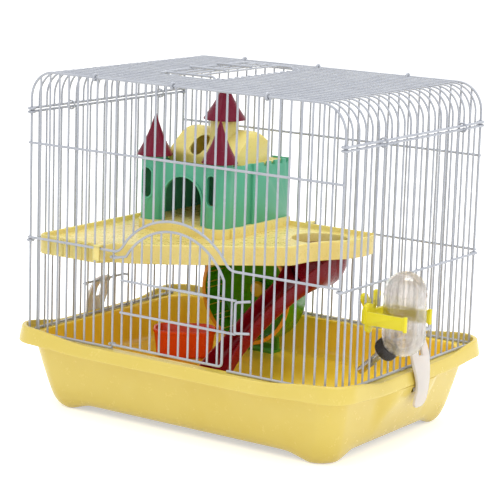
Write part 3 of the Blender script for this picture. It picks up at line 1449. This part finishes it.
@dataclass
class RunningWheel:
    """The clear green drum with its rungs, its amber rim, the hub and the stand."""

    middle: Point = (-44.5, 72.0, 93.0)
    radius: float = 48.0
    front: float = 56.0
    depth: float = 32.0
    wall: float = 2.0

    def spot(self, y: float) -> Matrix:
        """The wheel's axis as the Z axis of a turned shape that starts at y."""
        return (Matrix.Translation((self.middle[0], y, self.middle[2]))
                @ Matrix.Rotation(-math.pi / 2, 4, "X"))

    def build(self) -> None:
        """Builds the wheel's pieces."""
        hand_over(self.drum(), "running_wheel", "wheel_plastic", "wheel_drum")
        hand_over(self.rim(), "running_wheel", "rim_plastic", "wheel_rim")
        hand_over(from_solid("hub_cap", "hub_cover", Finish.HUB, 0.3), "running_wheel",
                  "hub_plastic", "hub_cap")
        hand_over(from_solid("wheel_axle", "axle_pin", Finish.STEEL, 0.3), "cage",
                  "axle_steel", "wheel_axle")
        hand_over(from_solid("wheel_stand", "wheel_bracket", Finish.STAND, 0.6), "cage",
                  "stand_plastic", "wheel_stand")

    def drum(self) -> bpy.types.Object:
        """The drum: a dished back, a round tread, the hub's sleeve and pairs of rungs."""
        r, w, d = self.radius, self.wall, self.depth
        bore, hub = 2.56, 7.5
        profile = [(bore, 22), (hub - 0.4, 22), (hub, 22.4), (hub, d - w - 0.8),
                   (hub + 0.8, d - w), (r - w - 3, d - w), (r - w - 0.9, d - w - 0.9),
                   (r - w, d - w - 3), (r - w, 2.0), (r, 2.0), (r, d - 2.6), (r - 0.8, d - 0.8),
                   (r - 2.6, d), (hub + 0.6, d), (hub, d + 0.4), (hub, d + 1), (bore, d + 1)]
        drum = smooth(Shape().turn(profile, self.spot(self.front), 128, closed=True).piece(
            "drum", Finish.WHEEL), 34)
        # Pairs of thin rungs, eighteen round the tread
        rungs = []
        for turn in (-3.4, 3.4):
            bars = grow("rungs", bar_ring_tree, path_mesh("none", []),
                        {"Count": 18, "Ring Radius": (r - w - 0.5) * MM, "Bar Radius": 0.55 * MM,
                         "Bar Length": (d - w - 6) * MM, "Finish": dress(Finish.RUNG)})
            spot = self.spot(self.front + d / 2) @ Matrix.Rotation(math.radians(turn), 4, "Z")
            spot.translation = place(spot.translation)
            bars.data.transform(spot)
            rungs.append(smooth(bars, 40))
        return join("wheel_shell", [drum, *rungs])

    def rim(self) -> bpy.types.Object:
        """The amber ring on the drum's open edge."""
        r = self.radius
        profile = [(r - 2.4, 0.0), (r + 0.1, 0.0), (r + 0.6, 0.3), (r + 0.8, 1.0), (r + 0.6, 1.7),
                   (r + 0.1, 2.0), (r - 2.4, 2.0), (r - 2.8, 1.4), (r - 2.8, 0.5)]
        ring = Shape().turn(profile, self.spot(self.front), 128, closed=True)
        return smooth(ring.piece("amber_rim", Finish.RIM), 50)


# ---------------------------------------------------------------- dish and bottle


@dataclass
class Dish:
    """The deep orange tub that stands loose on the tray's floor."""

    middle: Flat = (-91.0, 27.5)
    turned: float = 34.0
    half_w: float = 29.0
    half_d: float = 19.0
    height: float = 26.0

    def build(self) -> None:
        """Builds the dish."""
        h = self.height
        levels = [(9.0, 0.25), (7.5, 0.0), (5.2, 0.2), (3.6, 1.6), (3.0, 3.6), (0.9, h - 3.6),
                  (0.2, h - 3.2), (0.0, h - 2.6), (0.0, h - 0.8), (0.25, h - 0.25), (0.8, h),
                  (1.4, h), (2.0, h - 0.3), (2.3, h - 1.0), (4.4, 6.5), (5.2, 4.2), (7.0, 2.7),
                  (9.5, 2.2), (11.5, 2.2)]
        spot = (Matrix.Translation((*self.middle, FLOOR_Z))
                @ Matrix.Rotation(math.radians(self.turned), 4, "Z"))
        rings = [[tuple(spot @ Vector((x, y, z))) for x, y in
                  round_rect(self.half_w - d, self.half_d - d, 15 - d / 2, 12, 4)]
                 for d, z in levels]
        dish = smooth(Shape().loft(rings).piece("food_tub", Finish.DISH), 50)
        hand_over(dish, "food_dish", "dish_plastic", "dish")


@dataclass
class DrinkingBottle:
    """Clear bottle, seal, ribbed cap, steel spout and ball, with the clamp and its nut."""

    x: float = 188.0
    y: float = -55.5
    z: float = 111.0
    radius: float = 17.8
    length: float = 34.6
    wall: float = 1.4
    tilt: float = 47.0
    neck_r: float = 7.6
    neck_bore: float = 6.4
    cap_start: float = 16.4
    cap_end: float = 25.5
    cap_r: float = 9.6
    spout_r: float = 3.4
    spout_end: float = 52.5

    def along(self, s: float = 0.0) -> Matrix:
        """The neck's line as a Z axis that starts s along it."""
        return (Matrix.Translation((self.x, self.y, self.z))
                @ Matrix.Rotation(math.radians(180 + self.tilt), 4, "Y")
                @ Matrix.Translation((0, 0, s)))

    def build(self) -> None:
        """Builds the bottle's pieces."""
        hand_over(self.bottle(), "water_bottle", "bottle_plastic", "bottle")
        seal = Shape().turn([(2.8, 21.0), (7.2, 21.0), (7.4, 21.3), (7.4, 22.0), (7.2, 22.2),
                             (2.8, 22.2)], self.along(), 48, closed=True)
        hand_over(smooth(seal.piece("seal_ring", Finish.SEAL)), "screw_cap", "seal_rubber",
                  "bottle_seal")
        hand_over(self.cap(), "screw_cap", "cap_plastic", "bottle_cap")
        hand_over(self.spout(), "screw_cap", "spout_steel", "spout")
        ball_spot = self.along(self.spout_end - 0.5)
        ball = Shape().turn([(0, -2.5), *arc((0, 0), 2.5, -90, 90, 20)[1:-1], (0, 2.5)],
                            ball_spot, 40)
        hand_over(smooth(ball.piece("steel_ball", Finish.BALL)), "valve_ball", "ball_steel",
                  "spout_ball")
        hand_over(from_solid("bottle_clamp", "clamp_arms", Finish.CLAMP, 0.55), "cage",
                  "clamp_plastic", "bottle_clamp")
        hand_over(from_solid("wing_nut", "clamp_wing_nut", Finish.CLAMP, 0.5), "clamp_nut",
                  "clamp_plastic", "wing_nut")

    def capsule(self, r: float, band: bool) -> list[Flat]:
        """Profile of the bottle's body: round ends on a straight part.

        Args:
            r: Radius of the body.
            band: Adds the raised ring where the two halves of the bottle meet.

        Returns:
            Points of (radius, height), from the lowest to the highest.
        """
        low = [(0, -r), *arc((0, 0), r, -90, 0, 22)[1:]]
        high = [*arc((0, self.length), r, 0, 90, 22)[:-1], (0, self.length + r)]
        seam = [(r, self.length - 2.2), (r + 0.45, self.length - 1.9),
                (r + 0.45, self.length - 0.7), (r, self.length - 0.4)] if band else []
        return low + seam + high

    def bottle(self) -> bpy.types.Object:
        """The thin clear bottle with its short neck."""
        spot = Matrix.Translation((self.x, self.y, self.z))
        outer = Shape().turn(self.capsule(self.radius, True), spot, 96).piece(
            "clear_bottle", Finish.CLEAR)
        neck = Shape().turn([(0, 9.0), (self.neck_r, 9.0), (self.neck_r, 20.7),
                             (self.neck_r - 0.3, 21.0), (0, 21.0)], self.along(), 64)
        carve(outer, neck.piece("neck", Finish.CLEAR), Cut.JOIN)
        inner = Shape().turn(self.capsule(self.radius - self.wall, False), spot, 96).piece(
            "inner", Finish.CLEAR)
        bore = Shape().turn([(0, 2.0), (self.neck_bore, 2.0), (self.neck_bore, 23.0), (0, 23.0)],
                            self.along(), 64)
        carve(inner, bore.piece("bore", Finish.CLEAR), Cut.JOIN)
        carve(outer, inner, Cut.TAKE)
        return smooth(outer, 34)

    def cap(self) -> bpy.types.Object:
        """The black screw cap with grip ribs round it."""
        a, b, r = self.cap_start, self.cap_end, self.cap_r
        profile = [(7.9, a), (r - 0.2, a), (r, a + 0.3), (r, b - 1.4), (r - 0.4, b - 0.4),
                   (r - 1.2, b), (7.9, b), (7.7, b - 0.7), (6.9, b - 0.7), (6.7, b - 0.1),
                   (6.0, b - 0.1), (5.8, b - 0.8), (5.0, b - 0.8), (4.8, b - 0.2), (3.43, b - 0.2),
                   (3.43, 22.2), (7.9, 22.2)]
        cap = smooth(Shape().turn(profile, self.along(), 72, closed=True).piece(
            "cap", Finish.CAP), 34)
        ribs = grow("grip", bar_ring_tree, path_mesh("none", []),
                    {"Count": 36, "Ring Radius": r * MM, "Bar Radius": 0.42 * MM,
                     "Bar Length": (b - a - 2.6) * MM, "Finish": dress(Finish.CAP)})
        spot = self.along((a + b) / 2 - 0.4)
        spot.translation = place(spot.translation)
        ribs.data.transform(spot)
        return join("screw_cap_shell", [cap, smooth(ribs, 40)])

    def spout(self) -> bpy.types.Object:
        """The steel tube, drawn in at its end so that it holds the ball."""
        r, end = self.spout_r, self.spout_end
        nose = arc((0, end), r, 0, 54, 9)
        inside = arc((0, end - 0.5), r - 0.6, 44, 2, 7)
        profile = [(r - 0.6, 22.3), (r, 22.3), *nose, *inside, (r - 0.6, end - 1)]
        tube = Shape().turn(profile, self.along(), 48, closed=True)
        return smooth(tube.piece("spout_tube", Finish.STEEL), 34)


# ---------------------------------------------------------------- studio


@dataclass
class Studio:
    """White floor and surroundings, soft lamps and the photograph's camera."""

    eye: Point = (0.95978, -1.43804, 0.48795)
    yaw: float = 34.169
    pitch: float = -11.101
    roll: float = 1.805
    lens: float = 145.0
    target: Point = (0.0, 0.0, 0.14)

    def build(self) -> None:
        """Builds the studio."""
        self.camera()
        self.floor()
        self.world()
        self.lamp("key", (-0.9, -1.5, 1.7), 1.1, 4.0)
        self.lamp("side", (1.9, -0.7, 1.2), 1.2, 6.5)
        self.lamp("top", (0.1, 0.3, 2.0), 1.4, 20.0)
        bpy.context.scene.view_settings.view_transform = "Standard"

    def camera(self) -> None:
        """The camera as it stood for the photograph."""
        data = bpy.data.cameras.new("camera")
        data.lens, data.sensor_width = self.lens, 36.0
        data.clip_start, data.clip_end = 0.05, 50.0
        yaw, pitch, roll = (math.radians(v) for v in (self.yaw, self.pitch, self.roll))
        ahead = Vector((-math.sin(yaw) * math.cos(pitch), math.cos(yaw) * math.cos(pitch),
                        math.sin(pitch)))
        right = Vector((math.cos(yaw), math.sin(yaw), 0))
        up = right.cross(ahead)
        right, up = (right * math.cos(roll) + up * math.sin(roll),
                     up * math.cos(roll) - right * math.sin(roll))
        turn = Matrix((right, up, -ahead)).transposed().to_4x4()
        camera = bpy.data.objects.new("camera", data)
        camera.matrix_world = Matrix.Translation(self.eye) @ turn
        bpy.context.scene.collection.objects.link(camera)
        bpy.context.scene.camera = camera

    def seen(self, tree: bpy.types.NodeTree) -> bpy.types.NodeSocket:
        """Tells rays that the eye follows, also off gloss and through glass, from light."""
        path = add_node(tree, "ShaderNodeLightPath")
        rays = path.outputs["Is Camera Ray"]
        for kind in ("Is Glossy Ray", "Is Transmission Ray"):
            rays = add_node(tree, "ShaderNodeMath", {0: rays, 1: path.outputs[kind]},
                            operation="MAXIMUM").outputs[0]
        return rays

    def floor(self) -> None:
        """A wide pale floor that keeps the object's shadow."""
        mesh = bpy.data.meshes.new("floor")
        mesh.from_pydata([(-9, -9, 0), (9, -9, 0), (9, 9, 0), (-9, 9, 0)], [], [(0, 1, 2, 3)])
        material, tree = new_material("white_studio_sweep")
        seen = self.seen(tree)
        paper = add_node(tree, "ShaderNodeBsdfDiffuse", {"Color": linear("#F6F6F6")})
        glow = add_node(tree, "ShaderNodeEmission", {"Color": (1, 1, 1, 1), "Strength": 0.5})
        both = add_node(tree, "ShaderNodeAddShader", {0: paper.outputs[0], 1: glow.outputs[0]})
        mix = add_node(tree, "ShaderNodeMixShader",
                       {0: seen, 1: paper.outputs[0], 2: both.outputs[0]})
        add_node(tree, "ShaderNodeOutputMaterial", {"Surface": mix.outputs[0]})
        mesh.materials.append(material)
        floor = bpy.data.objects.new("floor", mesh)
        bpy.context.scene.collection.objects.link(floor)

    def world(self) -> None:
        """White surroundings for the eye, a plain level of light for the object."""
        world = bpy.data.worlds.new("studio")
        world.use_nodes = True
        tree = world.node_tree
        tree.nodes.clear()
        level = add_node(tree, "ShaderNodeMapRange", {"Value": self.seen(tree), "To Min": 0.86,
                                                      "To Max": 1.0}).outputs[0]
        light = add_node(tree, "ShaderNodeBackground", {"Color": (1, 1, 1, 1),
                                                        "Strength": level})
        add_node(tree, "ShaderNodeOutputWorld", {"Surface": light.outputs[0]})
        bpy.context.scene.world = world

    def lamp(self, name: str, spot: Point, size: float, power: float) -> None:
        """A square soft lamp that looks at the cage."""
        data = bpy.data.lights.new(name, "AREA")
        data.shape, data.size, data.energy = "SQUARE", size, power
        lamp = bpy.data.objects.new(name, data)
        way = Vector(spot) - Vector(self.target)
        lamp.matrix_world = Matrix.Translation(spot) @ way.to_track_quat("Z", "Y").to_matrix(
        ).to_4x4()
        bpy.context.scene.collection.objects.link(lamp)


def main() -> None:
    """Builds the studio and every sub-assembly in order."""
    logging.basicConfig(level=logging.INFO, format="%(name)s: %(message)s")
    Studio().build()
    for maker in (WireCage(), Tray(), Latches(), Platform(), Castle(), Slide(), RunningWheel(),
                  Dish(), DrinkingBottle()):
        maker.build()
        log.info("%s done", type(maker).__name__)


if __name__ == "__main__":
    main()
